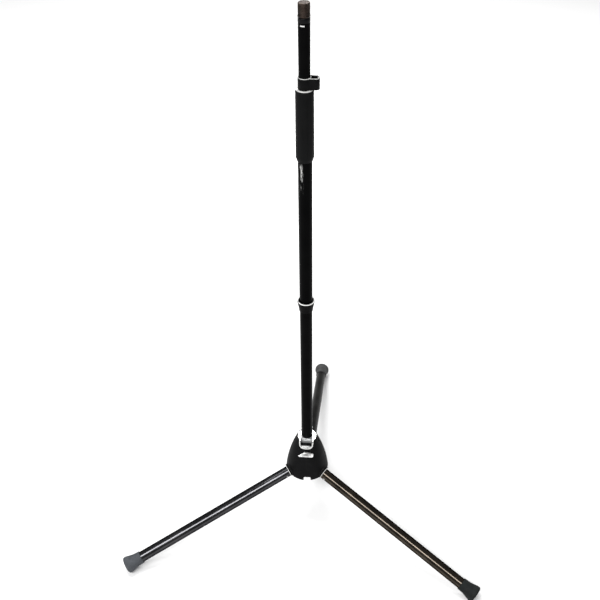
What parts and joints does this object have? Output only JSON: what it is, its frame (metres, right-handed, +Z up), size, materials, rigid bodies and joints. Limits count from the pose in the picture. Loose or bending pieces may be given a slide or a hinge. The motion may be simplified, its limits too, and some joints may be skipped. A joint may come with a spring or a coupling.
{
  "type": "microphone stand",
  "caption": "Straight telescopic microphone stand on a folding tripod base, with a tilting shaft, a twist clutch, a cable clip and a threaded top.",
  "frame": {"origin": "on the floor, at the middle of the object's bounding box; the shaft's axis stands 88.4 mm in front of it, at y = -0.0884", "axes": "+Z up along the shaft, -Y to the front, where the tilt lever is, +X to the cable clip's side"},
  "size_m": [0.6576, 0.573, 1],
  "materials": {
    "black_paint": "satin black paint",
    "black_casting": "matte black textured paint on a casting",
    "plated_trim": "dulled bright plating",
    "zinc": "raw die-cast zinc",
    "bare_steel": "worn bare steel",
    "steel_pin": "plain steel",
    "matte_grip": "matte moulded plastic",
    "black_plastic": "black moulded plastic",
    "pale_nylon": "natural nylon",
    "grey_rubber": "worn grey rubber"
  },
  "bodies": {
    "hub": {"hub_body": "black_casting", "neck_bezel": "plated_trim", "socket_liners": "plated_trim", "leg_pins": "steel_pin", "leg_washers": "pale_nylon", "leg_pin_clips": "steel_pin", "hub_bottom_cap": "black_plastic", "hub_cap_screw": "steel_pin", "tilt_pin": "steel_pin", "tilt_washers": "pale_nylon", "lever_pin": "steel_pin", "lever_spring": "steel_pin"},
    "lever": {"tilt_lever": "plated_trim"},
    "leg_rear": {"leg_tube_rear": "black_paint", "leg_eye_rear": "zinc", "leg_rivet_rear": "steel_pin", "foot_rear": "grey_rubber"},
    "leg_left": {"leg_tube_left": "black_paint", "leg_eye_left": "zinc", "leg_rivet_left": "steel_pin", "foot_left": "grey_rubber"},
    "leg_right": {"leg_tube_right": "black_paint", "leg_eye_right": "zinc", "leg_rivet_right": "steel_pin", "foot_right": "grey_rubber"},
    "shaft": {"tilt_knuckle": "zinc", "knuckle_roll_pin": "steel_pin", "lower_tube": "black_paint", "joint_coupler": "steel_pin", "joint_collar": "black_plastic", "main_tube": "black_paint", "guide_bush": "pale_nylon", "clutch_socket": "zinc"},
    "collet": {"clutch_collet": "pale_nylon"},
    "grip": {"clutch_grip": "matte_grip", "grip_top_ring": "plated_trim"},
    "rod": {"upper_rod": "black_paint", "rod_end_plug": "black_plastic", "stud_key": "plated_trim", "stud_collar": "black_plastic", "thread_stud": "bare_steel"},
    "clip": {"cable_clip": "black_plastic"}
  },
  "joints": [
    {"name": "leg_rear_fold", "type": "hinge", "parent": "hub", "child": "leg_rear", "pos_m": [0, -0.06338, 0.12077], "axis": [-1, 0, 0], "range_deg": [0, 72]},
    {"name": "leg_left_fold", "type": "hinge", "parent": "hub", "child": "leg_left", "pos_m": [-0.02166, -0.10091, 0.12077], "axis": [0.5, -0.866, 0], "range_deg": [0, 72]},
    {"name": "leg_right_fold", "type": "hinge", "parent": "hub", "child": "leg_right", "pos_m": [0.02166, -0.10091, 0.12077], "axis": [0.5, 0.866, 0], "range_deg": [0, 72]},
    {"name": "lever_press", "type": "hinge", "parent": "hub", "child": "lever", "pos_m": [0, -0.0704, 0.16], "axis": [1, 0, 0], "range_deg": [0, 6.5], "stiffness_Nm_per_rad": 0.6, "springref_deg": -11.46, "deforming": ["lever_spring"]},
    {"name": "shaft_tilt", "type": "hinge", "parent": "hub", "child": "shaft", "pos_m": [0, -0.0884, 0.189], "axis": [1, 0, 0], "range_deg": [0, 33]},
    {"name": "clutch_turn", "type": "hinge", "parent": "shaft", "child": "grip", "pos_m": [0, -0.0884, 0.83], "axis": [0, 0, 1], "range_deg": [0, 90]},
    {"name": "rod_turn", "type": "hinge", "parent": "shaft", "child": "collet", "pos_m": [0, -0.0884, 0.874], "axis": [0, 0, 1], "continuous": true},
    {"name": "rod_slide", "type": "slide", "parent": "collet", "child": "rod", "axis": [0, 0, 1], "range_m": [0, 0.46]},
    {"name": "clip_slide", "type": "slide", "parent": "rod", "child": "clip", "axis": [0, 0, 1], "range_m": [0, 0.065]}
  ]
}
